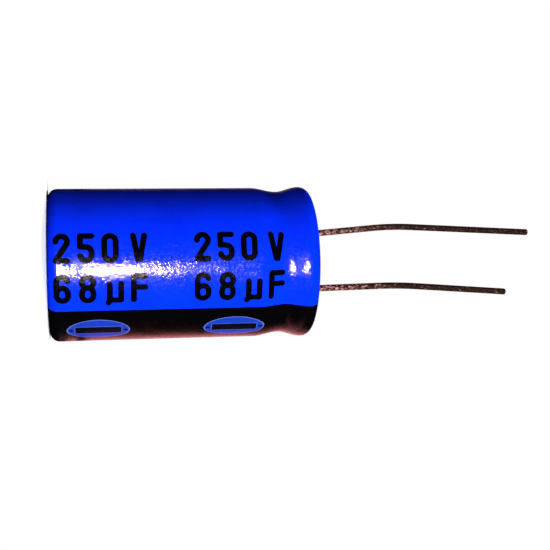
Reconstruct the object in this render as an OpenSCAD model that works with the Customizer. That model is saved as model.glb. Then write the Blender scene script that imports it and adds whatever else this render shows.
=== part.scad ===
// Radial aluminium electrolytic capacitor, standing on its closed end with the leads up.
// The origin is at the middle of the closed end, +Z runs along the can to the leads,
// and +X points from the axis to the negative lead.

/* [Can] */
// Diameter of the bare aluminium can
can_d = 18; // [14:0.5:25]
// Length of the finished body, from the closed end to the crimped end
body_l = 31.5; // [28:0.5:50]
// Thickness of the drawn can
can_wall = 0.4; // [0.3:0.05:0.6]
// Outside radius of the corner at the closed end
can_corner = 0.95; // [0.75:0.05:1.5]
// Outside radius of the rim that is rolled over the bung
curl_r = 1; // [0.8:0.05:1.3]
// Length of each line of the vent cross pressed into the closed end
vent_l = 9; // [5:0.5:11]
// Width of the vent lines
vent_w = 0.4; // [0.2:0.05:0.8]
// Depth of the vent lines
vent_d = 0.15; // [0.05:0.05:0.2]

/* [Neck] */
// Distance from the middle of the neck up to the crimped end
neck_down = 4; // [3.8:0.1:4.6]
// Length of the lower slope of the neck
neck_w = 3.2; // [2:0.1:4]
// Depth of the neck as the sleeve shows it
neck_d = 0.48; // [0.2:0.02:0.8]
// How far the crimped end swells past the straight wall
bulge = 0.1; // [0:0.02:0.3]
// Extra depth of the bead in the bare can, below the sleeve
bead_d = 0.7; // [0.3:0.05:1]
// Half the width of that bead
bead_w = 1.4; // [0.8:0.1:2]

/* [Sleeve] */
// Thickness of the shrunk plastic sleeve
sleeve_wall = 0.13; // [0.1:0.01:0.3]
// Clearance between the sleeve and the can
sleeve_gap = 0.02; // [0.01:0.01:0.1]
// Radius of the bare round window that the sleeve leaves on the closed end
window_r = 6.9; // [6:0.1:7]
// Turn of the sleeve's fold over the crimped rim, in degrees
fold_turn = 125; // [90:5:150]
// Depth of the printed ink in the sleeve
ink_t = 0.05; // [0.02:0.01:0.08]

/* [Stripe] */
// Place of the stripe around the can, in degrees from the negative lead
stripe_turn = -4.1; // [-30:0.1:10]
// Width of the stripe around the can, in degrees
stripe_span = 50; // [40:1:60]
// Turn of the ovals from the middle of the stripe, in degrees
oval_shift = -3.6; // [-5:0.1:5]
// Length of each pale oval
oval_l = 7.3; // [6.8:0.1:9]
// Width of each pale oval
oval_w = 4; // [3:0.1:5]
// Height of the middle of the first oval above the closed end
oval_z = 5.65; // [4.8:0.05:6.2]
// Length of the minus bar in each oval
minus_l = 5.3; // [4:0.1:5.6]
// Width of the minus bar
minus_w = 1.35; // [0.8:0.05:1.6]
// Length of the short tick at each end of an oval
tick_l = 0.5; // [0.3:0.05:0.6]
// Width of that tick
tick_w = 0.35; // [0.2:0.05:0.6]

/* [Rating] */
// Place of the rating print around the can, in degrees from the negative lead
rating_turn = -61.4; // [-70:0.1:-60]
// Step between the two rows of the print, in degrees
row_step = 29.4; // [26:0.1:34]
// Height of the first character above the closed end
rating_z = 0.7; // [0.5:0.05:1.2]
// Step along the can at which the stripe's ovals and the rating repeat
repeat_step = 15.9; // [14:0.1:17]
// Height of the characters
digit_h = 3.5; // [2.8:0.05:3.8]
// Width of a character
digit_w = 1.95; // [1.6:0.05:2.1]
// Step from one character to the next
digit_step = 2.7; // [2.5:0.05:2.8]
// Width of the printed strokes
stroke_w = 0.68; // [0.3:0.02:0.75]

/* [Bung] */
// Height of the rubber bung at its edge
bung_h = 5.2; // [4:0.1:6.5]
// Clearance between the bung and what it seals
seal_gap = 0.02; // [0.01:0.01:0.05]
// Height of the raised middle of the bung
boss_h = 0.5; // [0.2:0.05:0.9]
// Space between the raised middle and the rolled rim
boss_gap = 0.35; // [0.2:0.05:1]

/* [Leads] */
// Distance between the two leads at the bung
lead_pitch = 7.5; // [6.5:0.25:9]
// Diameter of the lead wires
lead_d = 0.8; // [0.5:0.05:1]
// Length of the positive lead past the body
positive_l = 30.4; // [20:0.1:40]
// Length of the negative lead past the body
negative_l = 26.5; // [18:0.1:36]
// Height above the body at which both leads are bent
kink_h = 11.5; // [4:0.5:16]
// Sideways place of the positive lead's kink, from its hole in the bung
positive_kink_x = -1.06; // [-2:0.02:2]
// Place of that kink across the can
positive_kink_y = 0.02; // [-2:0.02:2]
// Sideways place of the positive lead's tip
positive_tip_x = -0.6; // [-3:0.02:3]
// Place of that tip across the can
positive_tip_y = 1.28; // [-3:0.02:3]
// Sideways place of the negative lead's kink, from its hole in the bung
negative_kink_x = -0.55; // [-2:0.02:2]
// Place of that kink across the can
negative_kink_y = 0.72; // [-2:0.02:2]
// Sideways place of the negative lead's tip
negative_tip_x = -0.36; // [-3:0.02:3]
// Place of that tip across the can
negative_tip_y = 3.02; // [-4:0.02:4]
// How far the wire swells where it is bent
kink_swell = 0.03; // [0.02:0.01:0.05]
// Size of the small chamfer on each cut tip
tip_chamfer = 0.15; // [0.05:0.01:0.2]

/* [Tabs] */
// Diameter of the round aluminium shank in the bung
shank_d = 2.2; // [1.6:0.1:2.6]
// Height of the weld between shank and wire above the bottom of the bung
weld_h = 3.2; // [2:0.1:3.4]
// Length of the shank below the bung
shank_out = 0.4; // [0.2:0.1:1]
// Thickness of the flat blade in the winding
tab_t = 0.25; // [0.15:0.01:0.4]
// Width of that blade
tab_w = 2.4; // [1.5:0.1:2.6]
// How far the blade stands out of the winding
blade_out = 0.6; // [0.3:0.1:0.8]
// Space between the lower end of the blade and the edge of its foil
tab_short = 2; // [1:0.5:6]

/* [Winding] */
// Radius of the open core of the winding
core_r = 1.3; // [0.8:0.1:1.8]
// Thickness of the etched anode foil
anode_t = 0.12; // [0.08:0.01:0.16]
// Thickness of the cathode foil
cathode_t = 0.05; // [0.03:0.01:0.08]
// Thickness of each separator paper
paper_t = 0.07; // [0.04:0.01:0.1]
// Thickness of the tape around the winding
tape_t = 0.06; // [0.04:0.01:0.1]
// Clearance between neighbouring layers
ply_gap = 0.01; // [0.005:0.005:0.02]
// Clearance between the winding and the can wall
roll_gap = 0.2; // [0.1:0.05:0.5]
// Clearance between the papers and the rounded corner of the can
roll_seat = 0.05; // [0.02:0.01:0.2]
// Space between the papers and the bung
roll_clear = 2; // [1.6:0.1:3]
// How far the papers stand past the foils at each end
foil_margin = 1; // [0.5:0.1:1.5]

/* [Hidden] */
$fn = 96;
can_r = can_d/2;
skin_t = sleeve_gap + sleeve_wall;
base_z = skin_t;
rim_z = body_l - skin_t - curl_r;
rim_r = can_r + bulge - curl_r;
neck_z = body_l - neck_down;
neck_steps = 12;
arc_steps = 8;
vent_out = 0.05;
knuckle_gap = 0.05;
tab_press = 0.03;
// Levels up the wall at which its slope changes
levels = concat([for (i = [0 : neck_steps]) neck_z - neck_w*(1 - i/neck_steps)],
    [for (i = [1 : neck_steps]) neck_z + (rim_z - neck_z)*i/neck_steps]);
bung_top = rim_z - seal_gap;
bung_z = bung_top - bung_h;
boss_r = rim_r - curl_r - boss_gap;
shank_r = shank_d/2;
weld_z = bung_z + weld_h;
hole_x = lead_pitch/2;
// The winding: a pair of half turns adds one pitch, and the half turns swing about two
// centres a quarter pitch to either side of the axis
pitch = anode_t + cathode_t + 2*paper_t + 4*ply_gap;
swing = pitch/4;
INNER_PAPER = 0;
ANODE = 1;
OUTER_PAPER = 2;
CATHODE = 3;
ply_t = [paper_t, anode_t, paper_t, cathode_t];
ply_in = [0, paper_t + ply_gap, paper_t + anode_t + 2*ply_gap, 2*paper_t + anode_t + 3*ply_gap];
// Half turns whose outside carries the blades: odd ones lie on the positive side, even ones
// on the negative side
tab_r = hole_x - tab_t/2;
positive_half = 2*round((tab_r - core_r - ply_in[ANODE] - anode_t)/pitch - 0.5) + 1;
negative_half = 2*round((tab_r - core_r - ply_in[CATHODE] - cathode_t)/pitch);
positive_blade_r = ply_r(positive_half, ANODE) + anode_t + ply_gap;
negative_blade_r = ply_r(negative_half, CATHODE) + cathode_t + ply_gap;
blade_span = 180/PI*tab_w/min(positive_blade_r, negative_blade_r);
// Sideways room that the outer turns leave for the blades
tab_room = rounded_up((tab_t + 2*ply_gap)/cos(blade_span/2));
roll_room = can_r - can_wall - roll_gap - core_r - tab_room - swing - tape_t - ply_gap;
halves = 2*floor((roll_room - pitch/2)/pitch);
// The papers stand in the rounded corner of the can, where the wall is a gap away
inner_corner = can_corner - can_wall;
corner_in = max(0, inner_corner - roll_gap);
paper_z = rounded_up(base_z + can_corner - sqrt(pow(inner_corner, 2) - pow(corner_in, 2)) + roll_seat);
paper_top = bung_z - roll_clear;
paper_h = paper_top - paper_z;
foil_z = paper_z + foil_margin;
foil_h = paper_h - 2*foil_margin;

function rounded_up(size) = ceil(100*size)/100;
function ply_r(half, ply) = core_r + half*pitch/2 + ply_in[ply];
function arc(centre, r, from, to) = [for (i = [0 : arc_steps])
    centre + r*[cos(from + (to - from)*i/arc_steps), sin(from + (to - from)*i/arc_steps)]];
function reversed(list) = [for (i = [len(list) - 1 : -1 : 0]) list[i]];
function ease(u) = (1 - cos(180*u))/2;
// Radius of the can's wall at a height, without its bead
function wall_r(z) = can_r + (z <= neck_z - neck_w ? 0
    : z < neck_z ? -neck_d*ease((z - neck_z + neck_w)/neck_w)
    : -neck_d + (neck_d + bulge)*ease(min(1, (z - neck_z)/(rim_z - neck_z))));
function bead(z) = abs(z - neck_z) < bead_w ? bead_d*(1 - ease((z - neck_z)/bead_w)) : 0;
// Lines of a section, offset outward from the can: corner, wall and rolled rim
function corner_line(out) = arc([can_r - can_corner, base_z + can_corner], can_corner + out, -90, 0);
function wall_line(out, deep) = [for (z = levels) [wall_r(z) + out - deep*bead(z), z]];
function rim_line(out, turn) = arc([rim_r, rim_z], curl_r + out, 0, turn);
function sleeve_line(out) = concat([[window_r, base_z - out]], corner_line(out),
    wall_line(out, 0), rim_line(out, fold_turn));

// A ring of the sleeve's section between two offsets from the can
module skin(from, to, span) {
    rotate_extrude(angle = span)
        polygon(concat(sleeve_line(to), reversed(sleeve_line(from))));
}

// The outer layer of the sleeve that takes the ink
module ink_layer() {
    skin(skin_t - ink_t, skin_t, 360);
}

// Places a flat print on the skin: its x runs up the can, its y runs back around it
module on_skin(turn, z) {
    rotate([0, 0, turn])
        translate([can_r - 2*neck_d, 0, z])
            rotate([180, -90, 0])
                linear_extrude(height = 4*neck_d + bulge + 2*skin_t)
                    children();
}

module stroke(from, to) {
    run = to - from;
    translate(from)
        rotate(atan2(run[1], run[0])) {
            translate([0, -stroke_w/2])
                square([norm(run), stroke_w]);
            circle(d = stroke_w, $fn = 24);
            translate([norm(run), 0])
                circle(d = stroke_w, $fn = 24);
        }
}

// A round stroke about a centre
module round_stroke(centre, r, from, to) {
    translate(centre) {
        intersection() {
            difference() {
                circle(r + stroke_w/2, $fn = 48);
                circle(r - stroke_w/2, $fn = 48);
            }
            polygon(concat([[0, 0]], arc([0, 0], 3*(r + stroke_w), from, to)));
        }
        for (a = [from, to])
            rotate(a)
                translate([r, 0])
                    circle(d = stroke_w, $fn = 24);
    }
}

// A ring with straight sides between two heights
module tall_ring(low, high, r) {
    mid = digit_w/2;
    round_stroke([mid, high - r], r, 0, 180);
    round_stroke([mid, low + r], r, 180, 360);
    for (side = [-1, 1])
        stroke([mid + side*r, low + r], [mid + side*r, high - r]);
}

module glyph(name) {
    left = stroke_w/2;
    right = digit_w - left;
    low = left;
    high = digit_h - left;
    mid = digit_w/2;
    r = mid - left;
    waist = high - 2*r;
    if (name == "0")
        tall_ring(low, high, r);
    if (name == "2") {
        round_stroke([mid, high - r], r, -30, 180);
        stroke([mid + r*cos(-30), high - r + r*sin(-30)], [left, low]);
        stroke([left, low], [right, low]);
    }
    if (name == "5") {
        stroke([left, high], [right, high]);
        stroke([left, high], [left, waist]);
        stroke([left, waist], [mid, waist]);
        round_stroke([mid, waist - r], r, 0, 90);
        stroke([right, waist - r], [right, low + r]);
        round_stroke([mid, low + r], r, 190, 360);
    }
    if (name == "6") {
        tall_ring(low, waist, r);
        stroke([left, low + r], [left, high - r]);
        round_stroke([mid, high - r], r, 20, 180);
    }
    if (name == "8") {
        tall_ring(low, waist, r);
        translate([mid, high - r])
            difference() {
                circle(r + stroke_w/2, $fn = 48);
                circle(r - stroke_w/2, $fn = 48);
            }
    }
    if (name == "V") {
        stroke([left, high], [mid - stroke_w/6, low]);
        stroke([mid + stroke_w/6, low], [right, high]);
    }
    if (name == "u") {
        top = digit_h*0.66;
        stroke([left, top], [left, low]);
        stroke([left, low], [left - stroke_w/4, low - stroke_w/2]);
        stroke([left, low], [right, low]);
        stroke([right, low], [right, top]);
    }
    if (name == "F") {
        stroke([left, low], [left, high]);
        stroke([left, high], [right, high]);
        stroke([left, waist], [right, waist]);
    }
}

// One row of the rating; each entry is a character and its place in steps
module row(entries, side) {
    turn = rating_turn + side*row_step/2;
    for (column = [0, 1])
        for (entry = entries)
            on_skin(turn, rating_z + column*repeat_step + entry[1]*digit_step)
                translate([0, -digit_h/2])
                    glyph(entry[0]);
}

module rating_shapes() {
    row([["2", 0], ["5", 1], ["0", 2], ["V", 3.2]], -1);
    row([["6", 0], ["8", 1.05], ["u", 2.2], ["F", 3.2]], 1);
}

module oval_shapes() {
    for (column = [0, 1])
        on_skin(stripe_turn + oval_shift, oval_z + column*repeat_step)
            polygon([for (a = [0 : 7.5 : 352.5]) [oval_l/2*cos(a), oval_w/2*sin(a)]]);
}

module minus_shapes() {
    tick_x = (oval_l/2 + minus_l/2)/2;
    for (column = [0, 1])
        on_skin(stripe_turn + oval_shift, oval_z + column*repeat_step) {
            square([minus_l, minus_w], center = true);
            for (side = [-1, 1])
                translate([side*tick_x, 0])
                    square([tick_l, tick_w], center = true);
        }
}

module stripe_sector() {
    rotate([0, 0, stripe_turn - stripe_span/2])
        skin(skin_t - ink_t, skin_t, stripe_span);
}

module sleeve() {
    color("mediumblue")
        difference() {
            skin(sleeve_gap, skin_t, 360);
            stripe_sector();
            intersection() {
                ink_layer();
                rating_shapes();
            }
        }
}

module negative_stripe() {
    color("black")
        difference() {
            stripe_sector();
            oval_shapes();
        }
}

module minus_ovals() {
    color("steelblue")
        difference() {
            intersection() {
                ink_layer();
                oval_shapes();
            }
            minus_shapes();
        }
}

module minus_bars() {
    color("black")
        intersection() {
            ink_layer();
            minus_shapes();
        }
}

module rating_print() {
    color("black")
        intersection() {
            ink_layer();
            rating_shapes();
        }
}

module can() {
    inner_line = concat([[0, base_z + can_wall]],
        arc([can_r - can_corner, base_z + can_corner], inner_corner, -90, 0),
        wall_line(-can_wall, 1), arc([rim_r, rim_z], curl_r - can_wall, 0, 180));
    outer_line = concat([[0, base_z]], corner_line(0), wall_line(0, 1), rim_line(0, 180));
    color("silver")
        difference() {
            rotate_extrude()
                polygon(concat(outer_line, reversed(inner_line)));
            for (turn = [0, 90])
                rotate([0, 0, turn])
                    translate([-vent_l/2, -vent_w/2, base_z - vent_out])
                        cube([vent_l, vent_w, vent_d + vent_out]);
        }
}

module rubber_bung() {
    side_r = -can_wall - seal_gap;
    side = concat([[wall_r(bung_z) + side_r - bead(bung_z), bung_z]],
        [for (z = levels) if (z > bung_z && z < bung_top) [wall_r(z) + side_r - bead(z), z]],
        [[wall_r(bung_top) + side_r, bung_top]]);
    color("dimgray")
        difference() {
            union() {
                rotate_extrude()
                    polygon(concat([[0, bung_z]], side, [[0, bung_top]]));
                translate([0, 0, bung_top - boss_h])
                    cylinder(r = boss_r, h = 2*boss_h);
            }
            for (side = [-1, 1])
                translate([side*hole_x, 0, 0]) {
                    translate([0, 0, bung_z - 1])
                        cylinder(r = shank_r + seal_gap, h = weld_h + 1 + seal_gap);
                    translate([0, 0, bung_z])
                        cylinder(d = lead_d + 2*seal_gap, h = bung_h + boss_h + 1);
                }
        }
}

// A straight stretch of wire between two points. It stops just short of the middle of the
// bend at either end, and a free end has a chamfer
module wire_leg(from, to, starts_in_bend, is_tip) {
    run = to - from;
    r = lead_d/2;
    low = starts_in_bend ? knuckle_gap : 0;
    high = norm(run) - (is_tip ? 0 : knuckle_gap);
    cut = is_tip ? [[r, high - tip_chamfer], [r - tip_chamfer, high]] : [[r, high]];
    translate(from)
        rotate([0, atan2(norm([run[0], run[1]]), run[2]), atan2(run[1], run[0])])
            rotate_extrude()
                polygon(concat([[0, low], [r, low]], cut, [[0, high]]));
}

// The round of a bend, with its poles away from both stretches
module knuckle(place) {
    translate(place)
        rotate([90, 0, 0])
            sphere(d = lead_d + 2*kink_swell);
}

// A lead: straight through the bung, then out to its kink and on to its tip
module lead(side, kink, tip, length) {
    foot = [side*hole_x, 0, weld_z];
    exit = [side*hole_x, 0, bung_top + boss_h + lead_d];
    bend = [side*hole_x + kink[0], kink[1], body_l + kink_h];
    end = [side*hole_x + tip[0], tip[1], body_l + length];
    color("rosybrown") {
        wire_leg(foot, exit, false, false);
        knuckle(exit);
        wire_leg(exit, bend, true, false);
        knuckle(bend);
        wire_leg(bend, end, true, true);
    }
}

module positive_lead() {
    lead(-1, [positive_kink_x, positive_kink_y], [positive_tip_x, positive_tip_y], positive_l);
}

module negative_lead() {
    lead(1, [negative_kink_x, negative_kink_y], [negative_tip_x, negative_tip_y], negative_l);
}

// A tab: the round shank in the bung, pressed flat to a blade that follows the winding
module tab(side, blade_r) {
    neck_low = paper_top + blade_out/4;
    neck_high = bung_z - shank_out;
    blade_z = foil_z + tab_short;
    blade_x = side*(blade_r + tab_t/2);
    edge = tab_t/2 - tab_press;
    span = 180/PI*tab_w/blade_r;
    color("gainsboro") {
        translate([side*hole_x, 0, neck_high])
            cylinder(r = shank_r, h = weld_z - neck_high);
        intersection() {
            translate([side*hole_x, 0, neck_low - tab_t])
                cylinder(r = shank_r, h = neck_high - neck_low + tab_t);
            rotate([90, 0, 0])
                linear_extrude(height = 3*shank_r, center = true)
                    polygon([[blade_x - edge, neck_low], [blade_x + edge, neck_low],
                        [side*hole_x + shank_r, neck_high], [side*hole_x - shank_r, neck_high]]);
        }
        translate([0, side*swing, blade_z])
            rotate([0, 0, (side > 0 ? 0 : 180) - span/2])
                rotate_extrude(angle = span)
                    translate([blade_r, 0])
                        square([tab_t, paper_top + blade_out - blade_z]);
    }
}

module positive_tab() {
    tab(-1, positive_blade_r);
}

module negative_tab() {
    tab(1, negative_blade_r);
}

// Sideways shift of a layer's half turn, once it lies outside a blade
function shift(half, ply) = half % 2 == 0
    ? (half > negative_half ? tab_room : 0)
    : (half > positive_half || (half == positive_half && ply > ANODE) ? tab_room : 0);

// A wound ribbon: half turns on the negative side, then the positive side, and so on, with
// straight pieces between them where the blades push them apart
module ribbon(ply, thick, first, last, z, height) {
    for (half = [first : last]) {
        side = half % 2 == 0 ? 1 : -1;
        r = ply_r(half, ply);
        here = shift(half, ply);
        next = shift(half + 1, ply);
        translate([side*here, side*swing, z])
            rotate([0, 0, side > 0 ? -90 : 90])
                rotate_extrude(angle = 180)
                    translate([r, 0])
                        square([thick, height]);
        if (half < last && here + next > 0)
            translate([side > 0 ? -next : -here, side > 0 ? swing + r : -swing - r - thick, z])
                cube([here + next, thick, height]);
    }
}

module anode_foil() {
    color("lightgray")
        ribbon(ANODE, anode_t, 2, halves - 3, foil_z, foil_h);
}

module cathode_foil() {
    color("silver")
        ribbon(CATHODE, cathode_t, 1, halves - 2, foil_z, foil_h);
}

module inner_paper() {
    color("wheat")
        ribbon(INNER_PAPER, paper_t, 0, halves - 1, paper_z, paper_h);
}

module outer_paper() {
    color("burlywood")
        ribbon(OUTER_PAPER, paper_t, 0, halves - 1, paper_z, paper_h);
}

module winding_tape() {
    color("peru")
        ribbon(INNER_PAPER, tape_t, halves, halves + 1, paper_z, paper_h);
}

sleeve();
negative_stripe();
minus_ovals();
minus_bars();
rating_print();
can();
rubber_bung();
positive_lead();
negative_lead();
positive_tab();
negative_tab();
anode_foil();
cathode_foil();
inner_paper();
outer_paper();
winding_tape();
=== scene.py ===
import math

import bpy
from mathutils import Euler, Matrix, Vector


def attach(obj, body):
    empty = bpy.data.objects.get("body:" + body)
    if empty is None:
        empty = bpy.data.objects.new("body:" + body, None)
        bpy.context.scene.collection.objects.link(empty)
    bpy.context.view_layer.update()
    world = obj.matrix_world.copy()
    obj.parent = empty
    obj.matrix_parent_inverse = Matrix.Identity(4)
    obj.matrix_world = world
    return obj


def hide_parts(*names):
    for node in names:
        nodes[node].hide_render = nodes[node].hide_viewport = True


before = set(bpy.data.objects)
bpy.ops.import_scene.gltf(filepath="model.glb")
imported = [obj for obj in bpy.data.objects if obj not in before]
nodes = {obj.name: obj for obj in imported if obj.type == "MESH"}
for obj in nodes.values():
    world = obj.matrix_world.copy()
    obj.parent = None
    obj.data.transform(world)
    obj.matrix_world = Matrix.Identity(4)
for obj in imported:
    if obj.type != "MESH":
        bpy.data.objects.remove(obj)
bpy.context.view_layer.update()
mm = 0.001
print("frame loaded:", len(nodes), "nodes")


# A socket that takes part in sums: each operator adds a Math node
class Wire:
    def __init__(self, graph, socket):
        self.graph = graph
        self.socket = socket

    def calc(self, operation, other, swap=False):
        values = (other, self) if swap else (self, other)
        return self.graph.math(operation, *values)

    def __add__(self, other): return self.calc("ADD", other)
    def __radd__(self, other): return self.calc("ADD", other, swap=True)
    def __sub__(self, other): return self.calc("SUBTRACT", other)
    def __rsub__(self, other): return self.calc("SUBTRACT", other, swap=True)
    def __mul__(self, other): return self.calc("MULTIPLY", other)
    def __rmul__(self, other): return self.calc("MULTIPLY", other, swap=True)
    def __truediv__(self, other): return self.calc("DIVIDE", other)
    def __rtruediv__(self, other): return self.calc("DIVIDE", other, swap=True)
    def __pow__(self, other): return self.calc("POWER", other)


# A node tree, empty at first; add() makes any node from its type, its settings and what its
# sockets hold, which is a value or a link
class Graph:
    def __init__(self, tree):
        self.tree = tree
        tree.nodes.clear()

    def add(self, kind, settings=None, sockets=None, output=0):
        node = self.tree.nodes.new(kind)
        for name, value in (settings or {}).items():
            if name == "stops":
                self.setStops(node.color_ramp, value)
            else:
                setattr(node, name, value)
        for name, value in (sockets or {}).items():
            self.plug(node.inputs[name], value)
        return Wire(self, node.outputs[output]) if node.outputs else None

    def setStops(self, ramp, stops):
        while len(ramp.elements) < len(stops):
            ramp.elements.new(0.5)
        for element, (place, color) in zip(ramp.elements, stops):
            element.position = place
            element.color = (*color, 1)

    def plug(self, target, value):
        if isinstance(value, Wire):
            self.tree.links.new(value.socket, target)
        elif target.type == "RGBA":
            target.default_value = (*value, 1)
        else:
            target.default_value = value

    def math(self, operation, *values, clamp=False):
        return self.add("ShaderNodeMath", {"operation": operation, "use_clamp": clamp},
                        dict(enumerate(values)))

    def vector(self, operation, *values, output="Vector"):
        return self.add("ShaderNodeVectorMath", {"operation": operation},
                        dict(enumerate(values)), output)

    # How far a place or direction goes along another direction
    def along(self, place, direction):
        return self.vector("DOT_PRODUCT", place, tuple(direction), output="Value")

    # 0 at start, 1 at end, and smooth between them
    def ease(self, value, start, end):
        return self.add("ShaderNodeMapRange", {"interpolation_type": "SMOOTHSTEP"},
                        {"Value": value, "From Min": start, "From Max": end})

    # The Mix node's colour sockets are its inputs 6 and 7 and its output 2
    def mixColor(self, factor, a, b):
        return self.add("ShaderNodeMix", {"data_type": "RGBA"}, {0: factor, 6: a, 7: b}, 2)

    def mixShader(self, factor, a, b):
        return self.add("ShaderNodeMixShader", None, {0: factor, 1: a, 2: b})

    def noise(self, place, scale, detail=2.0, rough=0.5, stretch=None):
        if stretch:
            place = self.vector("MULTIPLY", place, stretch)
        return self.add("ShaderNodeTexNoise", None,
                        {"Vector": place, "Scale": scale, "Detail": detail, "Roughness": rough})

    # Noise made into soft patches, from 0 where it is at the span's start to 1 at its end
    def patches(self, place, span, **pattern):
        return self.ease(self.noise(place, **pattern), *span)


# A material: its graph, its shader node and the place on the part in millimetres
class Finish:
    def __init__(self, name, **shader):
        self.material = bpy.data.materials.new(name)
        self.material.use_nodes = True
        self.graph = Graph(self.material.node_tree)
        surface = self.graph.add("ShaderNodeBsdfPrincipled")
        self.graph.add("ShaderNodeOutputMaterial", None, {"Surface": surface})
        self.shader = surface.socket.node
        for key, value in shader.items():
            self.feed(key.replace("_", " "), value)
        place = self.graph.add("ShaderNodeTexCoord", output="Object")
        self.place = self.graph.vector("MULTIPLY", place, (1 / mm, 1 / mm, 1 / mm))

    def feed(self, name, value):
        self.graph.plug(self.shader.inputs[name], value)

    # A bump's distance is in mm
    def bump(self, height, strength, distance):
        self.feed("Normal", self.graph.add("ShaderNodeBump", None, {
            "Height": height, "Strength": strength, "Distance": distance * mm}))

    def axis(self, letter):
        return self.graph.add("ShaderNodeSeparateXYZ", None, {"Vector": self.place}, letter)

    # The angle round the can, in radians, from a line given in degrees
    def turnFrom(self, degrees):
        angle = self.graph.math("ARCTAN2", self.axis("Y"), self.axis("X"))
        return angle - math.radians(degrees)


# Camera: the photograph is taken with the part lying down, so its frame is turned upright here
view = {
    "place": (4.8128, -1.8238, 141.6026),    # mm from the closed end, along, across and above
    "turn": (0.0045, -0.1692, -0.0190),      # radians
    "partTurn": 25.0,                        # degrees from the picture to the negative lead
    "axisHeight": 9.15,                      # mm from the table to the axis of the lying can
    "lens": 70.79,
    "sensor": 36,
    "nearest": 0.005,                        # metres that the camera sees from, and up to
    "furthest": 20,
}
upright = Matrix.Rotation(math.radians(view["partTurn"]), 3, "Z") @ Matrix(
    ((0, -1, 0), (0, 0, -1), (1, 0, 0)))
towardsCamera = (upright @ Vector((0, 0, 1))).normalized()
pictureDown = (upright @ Vector((0, -1, 0))).normalized()


# A place in the photograph's frame, in mm: right along the can, up, and towards the camera
def pictured(right, up, near):
    return upright @ Vector((right, up, near - view["axisHeight"])) * mm


def makeCamera():
    data = bpy.data.cameras.new("camera")
    data.lens = view["lens"]
    data.sensor_width = view["sensor"]
    data.clip_start = view["nearest"]
    data.clip_end = view["furthest"]
    camera = bpy.data.objects.new("camera", data)
    turn = upright @ Euler(view["turn"], "XYZ").to_matrix()
    camera.matrix_world = Matrix.Translation(pictured(*view["place"])) @ turn.to_4x4()
    bpy.context.scene.collection.objects.link(camera)
    bpy.context.scene.camera = camera


makeCamera()
print("camera placed")


# Lamps: azimuth in degrees from the camera's side towards the stripe, rise in degrees, distance
# and size in mm, and level, at which 1 shows a colour about as it is written
lamps = {
    "flash": {"azimuth": 9.6, "rise": -4.4, "far": 134, "size": (16, 9), "level": 0.60,
              "tint": (1.0, 0.80, 0.87), "mirrored": True},
    "softbox": {"azimuth": 36, "rise": 12, "far": 420, "size": (130, 130), "level": 0.85},
    "topSoft": {"azimuth": 30, "rise": 66, "far": 420, "size": (130, 130), "level": 0.5},
    "backSoft": {"azimuth": -165, "rise": 52, "far": 420, "size": (90, 200), "level": 0.85},
    "sideSoft": {"azimuth": 150, "rise": 24, "far": 420, "size": (90, 200), "level": 0.55},
}
lampAim = 15.75     # mm above the floor, half way up the can


def makeLamp(name, azimuth, rise, far, size, level, tint=(1, 1, 1), mirrored=False):
    side, up = math.radians(azimuth), math.radians(rise)
    flat = towardsCamera * math.cos(side) + pictureDown * math.sin(side)
    aim = Vector((0, 0, lampAim * mm))
    place = aim + (flat * math.cos(up) + Vector((0, 0, math.sin(up)))) * far * mm
    data = bpy.data.lights.new(name, "AREA")
    data.shape = "ELLIPSE"
    data.color = tint
    data.size, data.size_y = size[0] * mm, size[1] * mm
    data.energy = level * 4 * math.pi * (far * mm) ** 2
    lamp = bpy.data.objects.new(name, data)
    lamp.location = place
    lamp.rotation_euler = (place - aim).to_track_quat("Z", "Y").to_euler()
    if not mirrored:     # soft light without a patch of its own on the gloss
        lamp.visible_glossy = False
        data.cycles.use_multiple_importance_sampling = False
    bpy.context.scene.collection.objects.link(lamp)


for lampName, lamp in lamps.items():
    makeLamp(lampName, **lamp)


# The world: plain white to the camera, and to the gloss a dark room with a glow behind the part
glow = {
    "fill": (0.02, 0.02, 0.02),              # soft light from all round
    "room": (0.004, 0.003, 0.003),
    "low": (                                 # colour by how straight behind the part, up to 1
        (0.52, (0.004, 0.002, 0.002)), (0.68, (0.26, 0.07, 0.065)), (0.79, (0.90, 0.24, 0.25)),
        (0.90, (1.5, 0.42, 0.48)), (1.0, (1.6, 1.0, 1.05))),
    "high": ((0.88, (0.004, 0.004, 0.005)), (0.97, (0.34, 0.22, 0.27))),
    "highToLow": (-0.02, 0.12),              # by how straight down in the picture
    "levelToRoom": (0.10, 0.42),             # by how straight up or down
}


def makeWorld():
    world = bpy.data.worlds.new("studio")
    world.use_nodes = True
    bpy.context.scene.world = world
    graph = Graph(world.node_tree)
    direction = graph.add("ShaderNodeTexCoord", output="Generated")
    behind = graph.along(direction, -towardsCamera)
    lowSide = graph.ease(graph.along(direction, pictureDown), *glow["highToLow"])
    lowGlow = graph.add("ShaderNodeValToRGB", {"stops": glow["low"]}, {"Fac": behind})
    highGlow = graph.add("ShaderNodeValToRGB", {"stops": glow["high"]}, {"Fac": behind})
    upOrDown = graph.math("ABSOLUTE", graph.along(direction, (0, 0, 1)))
    level = 1 - graph.ease(upOrDown, *glow["levelToRoom"])
    mirrored = graph.mixColor(level, glow["room"], graph.mixColor(lowSide, highGlow, lowGlow))
    scattered = graph.add("ShaderNodeLightPath", output="Is Diffuse Ray")
    camera = graph.add("ShaderNodeLightPath", output="Is Camera Ray")
    shown = graph.mixColor(camera, graph.mixColor(scattered, mirrored, glow["fill"]), (1, 1, 1))
    background = graph.add("ShaderNodeBackground", None, {"Color": shown, "Strength": 1.0})
    graph.add("ShaderNodeOutputWorld", None, {"Surface": background})


makeWorld()


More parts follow.
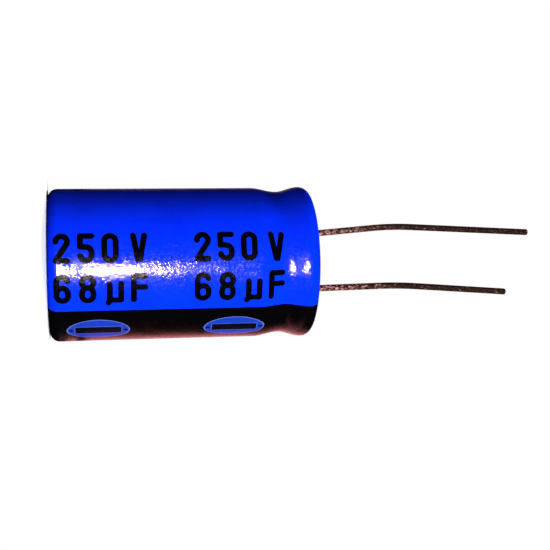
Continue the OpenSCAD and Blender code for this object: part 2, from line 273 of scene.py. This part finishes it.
# Floor: lit and shadowed near the part, plain white further out; all lengths in mm
floorLook = {
    "half": 3000,
    "drop": 0.03,                            # under the part, so that the two don't touch
    "litToWhite": (10, 36),                  # from the axis of the can
    "tone": 0.86,
    "bounce": 0.06,                          # tone of the light that it throws on the part
    "mirrored": 0.005,                       # tone in the gloss, apart from what comes next
    "pink": (1.2, 0.36, 0.40),               # glow far behind the part, low in the picture
    "pinkBehind": (150, 330),
    "pinkBelow": (-20, 40),
}
# Pale strips of the floor that only the gloss sees, so that the walls shine from the sides too
strips = {
    "azimuth": 5,                            # degrees from the camera's side towards the stripe
    "count": 2,                              # evenly round the part
    "starts": (20, 32),                      # mm from the axis of the can
    "ends": (54, 74),
    "edge": (0.86, 0.98),                    # cosine of the turn from its middle times the count
    "level": 3.0,
}


# What the gloss sees of the floor at a place in mm
def mirroredFloor(graph, place, reach):
    towards = graph.along(place, towardsCamera)
    low = graph.along(place, pictureDown)
    fromStrip = graph.math("ARCTAN2", low, towards) - math.radians(strips["azimuth"])
    turned = graph.math("COSINE", fromStrip * strips["count"])
    strip = (graph.ease(turned, *strips["edge"]) * graph.ease(reach, *strips["starts"])
             * (1 - graph.ease(reach, *strips["ends"])))
    sheen = graph.mixColor(strip, (floorLook["mirrored"],) * 3, (strips["level"],) * 3)
    pink = (graph.ease(towards * -1, *floorLook["pinkBehind"])
            * graph.ease(low, *floorLook["pinkBelow"]))
    return graph.add("ShaderNodeEmission", None, {
        "Color": graph.mixColor(pink, sheen, floorLook["pink"]), "Strength": 1.0})


def makeFloor():
    half, height = floorLook["half"] * mm, -floorLook["drop"] * mm
    mesh = bpy.data.meshes.new("floor")
    corners = [(x * half, y * half, height) for x, y in ((-1, -1), (1, -1), (1, 1), (-1, 1))]
    mesh.from_pydata(corners, [], [(0, 1, 2, 3)])
    floor = bpy.data.objects.new("floor", mesh)
    bpy.context.scene.collection.objects.link(floor)
    material = bpy.data.materials.new("paleFloor")
    material.use_nodes = True
    graph = Graph(material.node_tree)
    place = graph.vector("MULTIPLY", graph.add("ShaderNodeTexCoord", output="Object"),
                         (1 / mm, 1 / mm, 0))
    reach = graph.vector("LENGTH", place, output="Value")
    camera, glossy, scattered = (graph.add("ShaderNodeLightPath", output=name) for name in (
        "Is Camera Ray", "Is Glossy Ray", "Is Diffuse Ray"))
    lit, dim = (graph.add("ShaderNodeBsdfDiffuse", None, {"Color": (floorLook[name],) * 3})
                for name in ("tone", "bounce"))
    white = graph.add("ShaderNodeEmission", None, {"Color": (1, 1, 1), "Strength": 1.0})
    near = graph.mixShader(scattered, lit, dim)
    outer = graph.ease(reach, *floorLook["litToWhite"])
    seen = graph.mixShader(outer * camera, near, white)
    whole = graph.mixShader(glossy, seen, mirroredFloor(graph, place, reach))
    graph.add("ShaderNodeOutputMaterial", None, {"Surface": whole})
    mesh.materials.append(material)


makeFloor()
print("light and floor ready")


# The shrunk film and what is printed on it share one surface, so they share its waves.
# Scales are in 1/mm, heights and places in mm, and a pattern goes from 0 to 1 as its noise
# crosses the span
film = {
    "blue": (0.0004, 0.026, 0.95),
    "deepBlue": (0.0003, 0.021, 0.84),
    "cloud": {"scale": 0.28, "detail": 3.0, "rough": 0.55, "span": (0.35, 0.8)},
    "edgeCloud": {"scale": 0.9, "detail": 3.0, "rough": 0.55, "span": (0.35, 0.8)},
    "ior": 1.5,
    "specular": 0.9,
    "shine": 0.1,                            # roughness where the film is smoothest
    "smudge": {"scale": 0.35, "detail": 3.0, "rough": 0.6, "span": (0.3, 0.75)},
    "smudgeBlur": 0.04,
    "fleck": {"scale": 3.4, "rough": 0.65, "span": (0.47, 0.58)},
    "fleckBlur": 0.1,
    "wave": {"scale": 0.5, "stretch": (1, 1, 0.35)},
    "waveHeight": 0.020,
    "speckle": {"scale": 3.6, "rough": 0.6},
    "speckleHeight": 0.026,
    "speckled": {"scale": 0.6, "span": (0.35, 0.65)},     # where the speckle is stronger
    "speckleLeast": 0.6,
    "speckleMore": 0.7,
    "lineAt": 3.05,                          # a shallow ring pressed in above the closed end
    "lineWidth": 0.75,
    "lineHeight": 0.06,
    "pleat": {"scale": 1.6, "stretch": (1, 1, 0.1)},
    "pleatHeight": 0.05,
    "topFold": (30.8, 31.35),
    "footFold": (0.35, 0.05),
}


def filmSurface(finish, shine):
    graph, place, height = finish.graph, finish.place, finish.axis("Z")
    waves = graph.noise(place, **film["wave"]) * film["waveHeight"]
    speckled = (graph.patches(place, **film["speckled"]) * film["speckleMore"]
                + film["speckleLeast"])
    speckle = graph.noise(place, **film["speckle"]) * speckled * film["speckleHeight"]
    offLine = (height - film["lineAt"]) / film["lineWidth"]
    line = graph.math("EXPONENT", offLine ** 2 * -1) * film["lineHeight"]
    folded = graph.ease(height, *film["topFold"]) + graph.ease(height, *film["footFold"])
    pleats = graph.noise(place, **film["pleat"]) * folded * film["pleatHeight"]
    finish.bump(waves + speckle - line + pleats, strength=1.0, distance=1.0)
    finish.feed("Roughness", graph.patches(place, **film["smudge"]) * film["smudgeBlur"]
                + graph.patches(place, **film["fleck"]) * film["fleckBlur"] + shine)


def filmFinish(name):
    return Finish(name, IOR=film["ior"], Specular_IOR_Level=film["specular"])


def filmBlue(finish, cloud):
    return finish.graph.mixColor(finish.graph.patches(finish.place, **cloud), film["blue"],
                                 film["deepBlue"])


def makeFilm():
    finish = filmFinish("shrunkFilm")
    finish.feed("Base Color", filmBlue(finish, film["cloud"]))
    filmSurface(finish, film["shine"])
    return finish.material


# Inks: the colour of the full coat and of a thin one, and the specular level
inks = {
    "stripe": {"name": "printedInk", "low": (0.0008, 0.0008, 0.0011),
               "high": (0.002, 0.002, 0.006), "specular": 0.5},
    "rating": {"name": "ratingInk", "low": (0.0008, 0.0008, 0.0011),
               "high": (0.002, 0.002, 0.006), "specular": 0.25},
    "bar": {"name": "minusInk", "low": (0.001, 0.002, 0.006), "high": (0.002, 0.006, 0.020),
            "specular": 0.2},
}
inkCoat = {"blur": 0.03, "thin": {"scale": 2.2, "detail": 3.0, "rough": 0.6, "span": (0.50, 0.85)}}


def makeInk(name, low, high, specular):
    finish = Finish(name, IOR=film["ior"], Specular_IOR_Level=specular)
    thin = finish.graph.patches(finish.place, **inkCoat["thin"])
    finish.feed("Base Color", finish.graph.mixColor(thin, low, high))
    filmSurface(finish, film["shine"] + inkCoat["blur"])
    return finish.material


# Stripe: its middle and width in degrees round the can, and the softness of its edge in radians
stripe = {"turn": -4.1, "wide": 50, "edge": 0.006}


# The rolled edge carries the stripe's ink across its width
def makeFilmEdge():
    finish = filmFinish("filmEdge")
    graph = finish.graph
    turn = graph.math("ABSOLUTE", finish.turnFrom(stripe["turn"]))
    half = math.radians(stripe["wide"] / 2)
    inked = 1 - graph.ease(turn, half - stripe["edge"], half + stripe["edge"])
    finish.feed("Base Color", graph.mixColor(inked, filmBlue(finish, film["edgeCloud"]),
                                             inks["stripe"]["low"]))
    filmSurface(finish, film["shine"])
    return finish.material


# Ovals left open in the stripe: where they are, as in the part's source, in degrees and mm
ovals = {
    "blue": (0.006, 0.034, 0.36),
    "paleBlue": (0.085, 0.13, 0.42),
    "turn": -7.7,
    "first": 5.65,
    "step": 15.9,
    "radius": 9.15,
    "long": 7.3,
    "wide": 4.0,
    "rim": (0.24, 0.10),                     # how far in the paler rim starts and is full
    "barLong": 5.3,
    "barWide": 1.35,
    "barEdge": (0.06, 0.14),                 # how far round the bar it is paler
    "barPale": 0.55,
}


def makeOval():
    finish = Finish("ovalFilm", IOR=film["ior"])
    graph = finish.graph
    along = graph.math("PINGPONG", finish.axis("Z") - ovals["first"], ovals["step"] / 2)
    across = graph.math("ABSOLUTE", finish.turnFrom(ovals["turn"]) * ovals["radius"])
    reach = graph.math("SQRT", (along / (ovals["long"] / 2)) ** 2
                       + (across / (ovals["wide"] / 2)) ** 2)
    rim = graph.ease(reach, *(1 - inset / ovals["wide"] for inset in ovals["rim"]))
    fromBar = graph.math("MAXIMUM", along - ovals["barLong"] / 2, across - ovals["barWide"] / 2)
    barEdge = 1 - graph.ease(fromBar, *ovals["barEdge"])
    pale = graph.math("MAXIMUM", rim, barEdge * ovals["barPale"])
    finish.feed("Base Color", graph.mixColor(pale, ovals["blue"], ovals["paleBlue"]))
    filmSurface(finish, film["shine"])
    return finish.material


# Can: drawn aluminium with fine streaks and pits
aluminium = {
    "dark": (0.60, 0.61, 0.63),
    "pale": (0.78, 0.79, 0.80),
    "streak": {"scale": 3.0, "detail": 3.0, "rough": 0.6, "stretch": (3.0, 0.25, 3.0)},
    "streakSpan": (0.3, 0.7),
    "pit": {"scale": 7.0, "detail": 3.0, "rough": 0.65},
    "pitSpan": (0.35, 0.75),
    "shine": 0.28,
    "streakBlur": 0.16,
    "streakHeight": 0.7,
    "pitHeight": 0.5,
    "bump": {"strength": 0.5, "distance": 0.02},
}


def makeAluminium():
    finish = Finish("drawnAluminium", Metallic=1.0)
    graph, place = finish.graph, finish.place
    streak = graph.noise(place, **aluminium["streak"])
    pits = graph.noise(place, **aluminium["pit"])
    finish.feed("Base Color", graph.mixColor(graph.ease(pits, *aluminium["pitSpan"]),
                                             aluminium["dark"], aluminium["pale"]))
    finish.feed("Roughness", graph.ease(streak, *aluminium["streakSpan"])
                * aluminium["streakBlur"] + aluminium["shine"])
    finish.bump(streak * aluminium["streakHeight"] + pits * aluminium["pitHeight"],
                **aluminium["bump"])
    return finish.material


# Seal: black rubber with a greyer bloom
rubber = {
    "dark": (0.008, 0.008, 0.009),
    "bloomed": (0.028, 0.027, 0.026),
    "specular": 0.25,
    "bloom": {"scale": 0.8, "detail": 4.0, "rough": 0.6},
    "bloomSpan": (0.4, 0.8),
    "grain": {"scale": 14.0, "rough": 0.6},
    "shine": 0.55,
    "bloomBlur": 0.2,
    "blurSpan": (0.3, 0.8),
    "bump": {"strength": 0.6, "distance": 0.04},
}


def makeRubber():
    finish = Finish("sealRubber", Specular_IOR_Level=rubber["specular"])
    graph = finish.graph
    bloom = graph.noise(finish.place, **rubber["bloom"])
    finish.feed("Base Color", graph.mixColor(graph.ease(bloom, *rubber["bloomSpan"]),
                                             rubber["dark"], rubber["bloomed"]))
    finish.feed("Roughness", graph.ease(bloom, *rubber["blurSpan"]) * rubber["bloomBlur"]
                + rubber["shine"])
    finish.bump(graph.noise(finish.place, **rubber["grain"]), **rubber["bump"])
    return finish.material


# Tinned wire: mottled tin, with pale pink patches near the seal that are partly painted
# reflection; browner, darker and duller towards the tips, where the darkening is painted shade
tin = {
    # The pale pink is partly painted reflection
    "pale": (0.90, 0.52, 0.46),
    "brown": (0.28, 0.095, 0.07),
    "dark": (0.016, 0.010, 0.007),
    "metallic": 0.55,
    "mottle": {"scale": 2.6, "detail": 4.0, "rough": 0.65, "stretch": (1, 1, 0.45)},
    "fine": {"scale": 4.2, "detail": 3.0, "rough": 0.65, "stretch": (1, 1, 0.6)},
    "towardsTipsFrom": (33.0, 46.0),                 # mm above the closed end
    # Pale patches: mottled tin and painted reflection, fewer towards the tips
    "paleTinAndSheen": {"mottle": 0.35, "fine": 0.75, "towardsTips": 0.12, "span": (0.50, 0.70)},
    # Brown patches on dark, darker towards the tips as painted shade
    "brownAndShade": {"towardsTips": 0.8, "span": (0.35, 0.7)},
    "shine": {"plain": 0.46, "paleTinAndSheen": 0.14, "fine": 0.08},
    "mottleHeight": 0.6,
    "fineHeight": 0.8,
    "bump": {"strength": 0.9, "distance": 0.06},
}


def makeTin():
    finish = Finish("tinnedWire", Metallic=tin["metallic"])
    graph, place = finish.graph, finish.place
    paleTinAndSheen, brownAndShade, shine = tin["paleTinAndSheen"], tin["brownAndShade"], tin["shine"]
    mottle = graph.noise(place, **tin["mottle"])
    fine = graph.noise(place, **tin["fine"])
    # Painted: towards the tips the painted reflection of the pale patches fades and painted shade
    # darkens the colour
    towardsTips = graph.ease(finish.axis("Z"), *tin["towardsTipsFrom"])
    tinAndSheenPatch = graph.ease(mottle * paleTinAndSheen["mottle"] + fine * paleTinAndSheen["fine"] - towardsTips * paleTinAndSheen["towardsTips"],
                       *paleTinAndSheen["span"])
    under = graph.mixColor(graph.ease(fine, *brownAndShade["span"]) * (1 - towardsTips * brownAndShade["towardsTips"]),
                           tin["dark"], tin["brown"])
    # Pale patches, partly painted reflection, over a colour with painted shade towards the tips
    finish.feed("Base Color", graph.mixColor(tinAndSheenPatch, under, tin["pale"]))
    finish.feed("Roughness", shine["plain"] - tinAndSheenPatch * shine["paleTinAndSheen"] + fine * shine["fine"])
    finish.bump(mottle * tin["mottleHeight"] + fine * tin["fineHeight"], **tin["bump"])
    return finish.material


# What is wound inside, and the tabs: two tones in clouds drawn out along the roll
wound = {
    "tab": {"name": "tabAluminium", "low": (0.66, 0.67, 0.69), "high": (0.80, 0.80, 0.81),
            "rough": 0.34, "metallic": 1.0, "scale": 2.0},
    "anode": {"name": "etchedAnode", "low": (0.34, 0.34, 0.33), "high": (0.48, 0.48, 0.46),
              "rough": 0.6, "metallic": 0.8, "scale": 3.0},
    "cathode": {"name": "etchedCathode", "low": (0.52, 0.52, 0.53), "high": (0.66, 0.66, 0.67),
                "rough": 0.5, "metallic": 0.9, "scale": 3.0},
    "paper": {"name": "soakedPaper", "low": (0.52, 0.42, 0.26), "high": (0.66, 0.56, 0.38),
              "rough": 0.62, "metallic": 0.0, "scale": 1.5},
    "tape": {"name": "windingTape", "low": (0.50, 0.30, 0.10), "high": (0.62, 0.40, 0.16),
             "rough": 0.35, "metallic": 0.0, "scale": 1.0},
}
woundLook = {
    "cloud": {"detail": 4.0, "rough": 0.6, "stretch": (1, 1, 0.4)},
    "toneSpan": (0.3, 0.75),
    "blurSpan": (0.3, 0.8),
    "blur": 0.12,
    "bump": {"strength": 0.4, "distance": 0.03},
}


def makeWound(name, low, high, rough, metallic, scale):
    finish = Finish(name, Metallic=metallic)
    graph = finish.graph
    cloud = graph.noise(finish.place, scale, **woundLook["cloud"])
    tone = graph.ease(cloud, *woundLook["toneSpan"])
    finish.feed("Base Color", graph.mixColor(tone, low, high))
    finish.feed("Roughness", graph.ease(cloud, *woundLook["blurSpan"]) * woundLook["blur"]
                + rough)
    finish.bump(cloud, **woundLook["bump"])
    return finish.material


finishes = {"film": makeFilm(), "filmEdge": makeFilmEdge(), "oval": makeOval(),
            "can": makeAluminium(), "rubber": makeRubber(), "tin": makeTin()}
finishes.update({key: makeInk(**ink) for key, ink in inks.items()})
finishes.update({key: makeWound(**look) for key, look in wound.items()})
wears = {
    "sleeve": "film", "negative_stripe": "stripe", "minus_ovals": "oval", "minus_bars": "bar",
    "rating_print": "rating", "can": "can", "rubber_bung": "rubber", "positive_lead": "tin",
    "negative_lead": "tin", "positive_tab": "tab", "negative_tab": "tab",
    "anode_foil": "anode", "cathode_foil": "cathode", "inner_paper": "paper",
    "outer_paper": "paper", "winding_tape": "tape",
}
for nodeName, finishName in wears.items():
    for slot in nodes[nodeName].material_slots:
        slot.material = finishes[finishName]
print("finishes on the CAD nodes")


# The made pieces' sizes are lengths in mm, as floats, and counts, as whole numbers. Each is an
# input of the piece's tree, under the same name
def scaled(size):
    return size if isinstance(size, int) else size * mm


# A Geometry Nodes tree with its named inputs, and the wires that come from them
def startTree(name, sizes):
    tree = bpy.data.node_groups.new(name, "GeometryNodeTree")
    tree.interface.new_socket("Geometry", in_out="INPUT", socket_type="NodeSocketGeometry")
    for key, size in sizes.items():
        kind = "NodeSocketInt" if isinstance(size, int) else "NodeSocketFloat"
        socket = tree.interface.new_socket(key, in_out="INPUT", socket_type=kind)
        socket.default_value = scaled(size)
    tree.interface.new_socket("Geometry", in_out="OUTPUT", socket_type="NodeSocketGeometry")
    graph = Graph(tree)
    entry = tree.nodes.new("NodeGroupInput")
    return graph, {socket.name: Wire(graph, socket) for socket in entry.outputs if socket.name}


def endTree(graph, shape, material):
    smooth = graph.add("GeometryNodeSetShadeSmooth", None, {0: shape})
    real = graph.add("GeometryNodeRealizeInstances", None, {0: smooth})
    dressed = graph.add("GeometryNodeSetMaterial", None, {"Geometry": real, "Material": material})
    graph.add("NodeGroupOutput", None, {0: dressed})
    return graph.tree


def addRing(graph, sides, radius):
    return graph.add("GeometryNodeCurvePrimitiveCircle", {"mode": "RADIUS"},
                     {"Resolution": sides, "Radius": radius})


# A curve object through points in mm, which a tree takes as its geometry
def makePath(name, points, closed=False):
    path = bpy.data.curves.new(name, "CURVE")
    path.dimensions = "3D"
    spline = path.splines.new("POLY")
    spline.points.add(len(points) - 1)
    spline.use_cyclic_u = closed
    for target, point in zip(spline.points, points):
        target.co = (*(Vector(point) * mm), 1)
    carrier = bpy.data.objects.new(name, path)
    bpy.context.scene.collection.objects.link(carrier)
    return carrier


# Runs a tree on a path and returns the plain mesh that it makes
def convert(carrier, tree, sizes, name):
    modifier = carrier.modifiers.new("make", "NODES")
    modifier.node_group = tree
    ids = {item.name: item.identifier for item in tree.interface.items_tree
           if item.in_out == "INPUT"}
    for key, size in sizes.items():
        modifier[ids[key]] = scaled(size)
    bpy.context.view_layer.update()
    evaluated = carrier.evaluated_get(bpy.context.evaluated_depsgraph_get())
    mesh = bpy.data.meshes.new_from_object(evaluated)
    carrier.modifiers.clear()
    bpy.data.objects.remove(carrier)
    mesh.name = name
    made = bpy.data.objects.new(name, mesh)
    bpy.context.scene.collection.objects.link(made)
    return made


# Leads: one wire each along straight runs and round bends
leads = {
    "positiveWire": {"node": "positive_lead", "path": (
        (-3.75, 0, 28.33), (-3.75, 0, 31.63), (-4.81, 0.02, 43.0), (-4.35, 1.28, 61.9))},
    "negativeWire": {"node": "negative_lead", "path": (
        (3.75, 0, 28.33), (3.75, 0, 31.63), (3.20, 0.72, 43.0), (3.39, 3.02, 58.0))},
}
wireSizes = {"Radius": 0.4, "Step": 0.09, "Tip": 0.2, "Sides": 20}
wireBend = {"reach": 2.6, "most": 0.45, "steps": 12}     # most is a share of a straight run
tipRound = 0.75     # 1 makes a round tip, and 0 a flat one


# Points of a path whose corners are rounded over a length of wire
def roundedPath(corners):
    corners = [Vector(corner) for corner in corners]
    points = [corners[0]]
    for before, corner, after in zip(corners, corners[1:], corners[2:]):
        reach = min(wireBend["reach"], (corner - before).length * wireBend["most"],
                    (after - corner).length * wireBend["most"])
        start = corner + (before - corner).normalized() * reach
        end = corner + (after - corner).normalized() * reach
        for i in range(wireBend["steps"] + 1):
            t = i / wireBend["steps"]
            points.append(start * (1 - t) ** 2 + corner * 2 * t * (1 - t) + end * t**2)
    points.append(corners[-1])
    return points


# A tube along the path, with a softly rounded tip
def makeWireTree():
    graph, given = startTree("wireAlongPath", wireSizes)
    resampled = graph.add("GeometryNodeResampleCurve", {"mode": "LENGTH"},
                          {"Curve": given["Geometry"], "Length": given["Step"]})
    along = graph.add("GeometryNodeSplineParameter", output="Length")
    whole = graph.add("GeometryNodeSplineLength", output="Length")
    left = graph.math("DIVIDE", whole - along, given["Tip"], clamp=True)
    shape = graph.math("SQRT", 1 - (1 - left) ** 2 * tipRound)
    tube = graph.add("GeometryNodeCurveToMesh", None,
                     {"Curve": resampled, "Profile Curve": addRing(graph, given["Sides"], 1.0),
                      "Scale": shape * given["Radius"], "Fill Caps": True})
    return endTree(graph, tube, finishes["tin"])


wireTree = makeWireTree()
for wireName, wire in leads.items():
    made = convert(makePath(wireName, roundedPath(wire["path"])), wireTree, wireSizes, wireName)
    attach(made, "root")
    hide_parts(wire["node"])
    print("wire made:", wireName, len(made.data.polygons), "faces")


# Rubber that is pushed up round each wire where it leaves the bung
collar = {
    "inner": 0.41,
    "outer": 0.95,
    "rise": 0.34,
    "foot": 0.12,       # height at the outer edge, as a share of the rise
    "curve": 2.2,       # power of its slope
    "overlap": 0.03,    # into the wire
    "sink": 0.06,       # into the bung
    "steps": 10,
}
collarSizes = {"Pitch": 7.5, "Height": 30.83, "Pin": 0.001, "Sides": 48}


# Its outline, as points of radius and height
def collarPoints():
    points = [(collar["inner"] - collar["overlap"], -collar["sink"])]
    for i in range(collar["steps"], -1, -1):
        t = i / collar["steps"]
        radius = collar["outer"] + (collar["inner"] - collar["outer"]) * t
        height = collar["rise"] * (collar["foot"] + (1 - collar["foot"]) * t ** collar["curve"])
        points.append((radius, height - (collar["sink"] if i == 0 else 0)))
    return points


# Turns the outline round a thin pin, and sets one ring at each of the two wires along X
def makeCollarTree():
    graph, given = startTree("collarAtEachWire", collarSizes)
    lathed = graph.add("GeometryNodeCurveToMesh", None, {
        "Curve": addRing(graph, given["Sides"], given["Pin"]), "Profile Curve": given["Geometry"]})
    start = graph.add("ShaderNodeCombineXYZ", None,
                      {"X": given["Pitch"] * -0.5, "Z": given["Height"]})
    step = graph.add("ShaderNodeCombineXYZ", None, {"X": given["Pitch"]})
    places = graph.add("GeometryNodeMeshLine", {"mode": "OFFSET"},
                       {"Count": 2, "Start Location": start, "Offset": step})
    placed = graph.add("GeometryNodeInstanceOnPoints", None,
                       {"Points": places, "Instance": lathed})
    return endTree(graph, placed, finishes["rubber"])


outline = makePath("leadCollars", [(radius, -height, 0) for radius, height in collarPoints()],
                   closed=True)
made = convert(outline, makeCollarTree(), collarSizes, "leadCollars")
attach(made, "root")
print("collars made:", len(made.data.polygons), "faces")


# Rolled edge of the film, where it ends over the crimped rim and round the closed end
lips = {
    "upperLip": {"Radius": 7.42, "Height": 31.30, "Bead": 0.10, "Wander": 0.10,
                 "Sides": 288, "Bead Sides": 12, "Seed": 3},
    "lowerLip": {"Radius": 6.88, "Height": 0.082, "Bead": 0.07, "Wander": 0.12,
                 "Sides": 288, "Bead Sides": 12, "Seed": 23},
}
lipWave = {"scale": 0.55, "detail": 3.0, "rough": 0.55}


# A bead along a circle that wanders in and out
def makeLipTree():
    graph, given = startTree("rolledFilmEdge", lips["upperLip"])
    place = graph.add("GeometryNodeInputPosition")
    seed = graph.add("ShaderNodeCombineXYZ", None, {"Z": given["Seed"]})
    shifted = graph.vector("ADD", graph.vector("MULTIPLY", place, (1 / mm, 1 / mm, 1 / mm)), seed)
    wave = graph.noise(shifted, **lipWave) - 0.5
    outward = graph.add("ShaderNodeVectorMath", {"operation": "SCALE"}, {
        0: graph.vector("NORMALIZE", place), "Scale": wave * given["Wander"] * 2})
    up = graph.add("ShaderNodeCombineXYZ", None, {"Z": given["Height"]})
    moved = graph.add("GeometryNodeSetPosition", None, {
        "Geometry": addRing(graph, given["Sides"], given["Radius"]),
        "Offset": graph.vector("ADD", outward, up)})
    tube = graph.add("GeometryNodeCurveToMesh", None, {
        "Curve": moved, "Profile Curve": addRing(graph, given["Bead Sides"], given["Bead"])})
    return endTree(graph, tube, finishes["filmEdge"])


lipTree = makeLipTree()
for lipName, lip in lips.items():
    made = convert(makePath(lipName, [(0, 0, 0), (0, 0, 1)]), lipTree, lip, lipName)
    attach(made, "root")
    print("film edge made:", lipName, len(made.data.polygons), "faces")

bpy.context.scene.view_settings.view_transform = "Standard"
